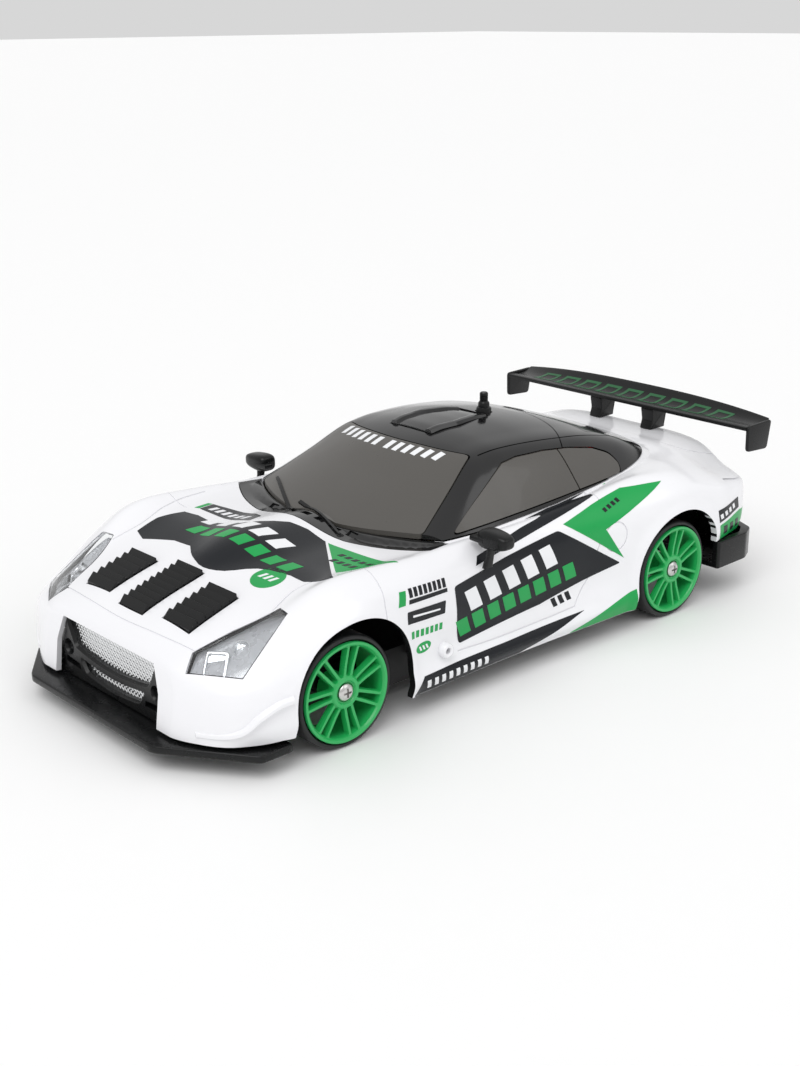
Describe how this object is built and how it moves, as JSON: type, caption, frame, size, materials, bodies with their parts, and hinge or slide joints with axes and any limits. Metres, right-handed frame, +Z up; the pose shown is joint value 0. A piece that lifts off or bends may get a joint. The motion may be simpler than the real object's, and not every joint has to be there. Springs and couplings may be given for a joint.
{
  "type": "rc drift car",
  "caption": "Radio-controlled drift car with a white coupe body, black roof and rear wing, green multi-spoke wheels, locked four-wheel drive and steering front wheels.",
  "frame": {"origin": "on the ground under the middle of the car's length and width", "axes": "+X forward, +Y to the car's left, +Z up"},
  "size_m": [0.1898, 0.0984, 0.0582],
  "materials": {
    "white_shell": "glossy injection-moulded white, light orange peel",
    "black_gloss": "glossy black",
    "black_satin": "satin black, fine grain",
    "window_grey": "satin warm dark grey, opaque",
    "clear_lens": "clear polished plastic",
    "chrome": "bright plated plastic",
    "red_lens": "glossy translucent red",
    "wheel_green": "glossy bright green",
    "tyre": "smooth hard drift compound, satin",
    "steel": "plain bright steel",
    "brass": "turned brass",
    "chassis_black": "matte black, moulded texture",
    "nylon": "natural nylon, waxy",
    "board_green": "solder-masked circuit board",
    "cell_blue": "shrink-wrapped cells"
  },
  "bodies": {
    "car": {"body_shell": "white_shell", "roof_panel": "black_gloss", "rear_window": "black_gloss", "cowl_panel": "black_gloss", "roof_scoop": "black_gloss", "windscreen": "window_grey", "side_window_left": "window_grey", "side_window_right": "window_grey", "antenna": "black_satin", "louvre_left": "black_satin", "louvre_centre": "black_satin", "louvre_right": "black_satin", "grille_frame": "black_satin", "front_splitter": "black_satin", "mirror_left": "black_satin", "mirror_right": "black_satin", "rear_wing": "black_satin", "wing_strut_left": "black_satin", "wing_strut_right": "black_satin", "rear_bumper": "black_satin", "headlight_lens_left": "clear_lens", "headlight_lens_right": "clear_lens", "headlight_bowl_left": "chrome", "headlight_bowl_right": "chrome", "grille_mesh": "chrome", "tail_lamp_left": "red_lens", "tail_lamp_right": "red_lens", "chassis_tub": "chassis_black", "battery_door": "chassis_black", "steering_servo": "chassis_black", "rear_gearbox": "chassis_black", "front_gearbox": "chassis_black", "battery_door_screw": "steel", "drive_motor": "steel", "battery_pack": "cell_blue", "circuit_board": "board_green"},
    "rear_wheels": {"rear_axle": "steel", "rear_rim_left": "wheel_green", "rear_rim_right": "wheel_green", "rear_tyre_left": "tyre", "rear_tyre_right": "tyre", "rear_wheel_screw_left": "steel", "rear_wheel_screw_right": "steel"},
    "centre_shaft": {"centre_shaft": "nylon"},
    "motor_pinion": {"motor_pinion": "brass"},
    "front_spool": {"front_spool": "steel"},
    "knuckle_left": {"knuckle_left": "chassis_black"},
    "knuckle_right": {"knuckle_right": "chassis_black"},
    "front_wheel_left": {"front_stub_left": "steel", "front_rim_left": "wheel_green", "front_tyre_left": "tyre", "front_wheel_screw_left": "steel"},
    "front_wheel_right": {"front_stub_right": "steel", "front_rim_right": "wheel_green", "front_tyre_right": "tyre", "front_wheel_screw_right": "steel"},
    "tie_rod": {"tie_rod": "chassis_black"},
    "servo_horn": {"servo_horn": "nylon"},
    "power_switch": {"power_switch": "nylon"},
    "trim_lever": {"trim_lever": "nylon"}
  },
  "joints": [
    {"name": "rear_axle_spin", "type": "hinge", "parent": "car", "child": "rear_wheels", "pos_m": [-0.0558, 0, 0.01304], "axis": [0, 1, 0], "continuous": true},
    {"name": "centre_shaft_spin", "type": "hinge", "parent": "car", "child": "centre_shaft", "pos_m": [0, 0, 0.01304], "axis": [1, 0, 0], "continuous": true},
    {"name": "motor_spin", "type": "hinge", "parent": "car", "child": "motor_pinion", "pos_m": [-0.014, -0.0099, 0.01304], "axis": [1, 0, 0], "continuous": true},
    {"name": "front_spool_spin", "type": "hinge", "parent": "car", "child": "front_spool", "pos_m": [0.0568, 0, 0.01304], "axis": [0, 1, 0], "continuous": true},
    {"name": "steer_left", "type": "hinge", "parent": "car", "child": "knuckle_left", "pos_m": [0.0568, 0.0305, 0.01304], "axis": [0, 0, 1], "range_deg": [-18, 18]},
    {"name": "steer_right", "type": "hinge", "parent": "car", "child": "knuckle_right", "pos_m": [0.0568, -0.0305, 0.01304], "axis": [0, 0, 1], "range_deg": [-18, 18]},
    {"name": "front_left_spin", "type": "hinge", "parent": "knuckle_left", "child": "front_wheel_left", "pos_m": [0.0568, 0, 0.01304], "axis": [0, 1, 0], "continuous": true},
    {"name": "front_right_spin", "type": "hinge", "parent": "knuckle_right", "child": "front_wheel_right", "pos_m": [0.0568, 0, 0.01304], "axis": [0, 1, 0], "continuous": true},
    {"name": "tie_rod_slide", "type": "slide", "parent": "car", "child": "tie_rod", "axis": [0, 1, 0], "range_m": [-0.0034, 0.0034]},
    {"name": "servo_horn_turn", "type": "hinge", "parent": "car", "child": "servo_horn", "pos_m": [0.0368, 0.0095, 0.0156], "axis": [0, 0, 1], "range_deg": [-23, 23]},
    {"name": "power_switch_slide", "type": "slide", "parent": "car", "child": "power_switch", "axis": [1, 0, 0], "range_m": [0, 0.002]},
    {"name": "trim_lever_turn", "type": "hinge", "parent": "car", "child": "trim_lever", "pos_m": [0.034, -0.008, 0.0058], "axis": [0, 0, 1], "range_deg": [-20, 20]}
  ],
  "couplings": [
    {"joint": "centre_shaft_spin", "follows": "rear_axle_spin", "ratio": 1.75},
    {"joint": "motor_spin", "follows": "rear_axle_spin", "ratio": -3.0625},
    {"joint": "front_spool_spin", "follows": "rear_axle_spin", "ratio": 1},
    {"joint": "front_left_spin", "follows": "rear_axle_spin", "ratio": 1},
    {"joint": "front_right_spin", "follows": "rear_axle_spin", "ratio": 1},
    {"joint": "steer_right", "follows": "steer_left", "ratio": 1},
    {"joint": "tie_rod_slide", "follows": "steer_left", "m_per_rad": -0.0106},
    {"joint": "servo_horn_turn", "follows": "steer_left", "ratio": -1.2326}
  ]
}
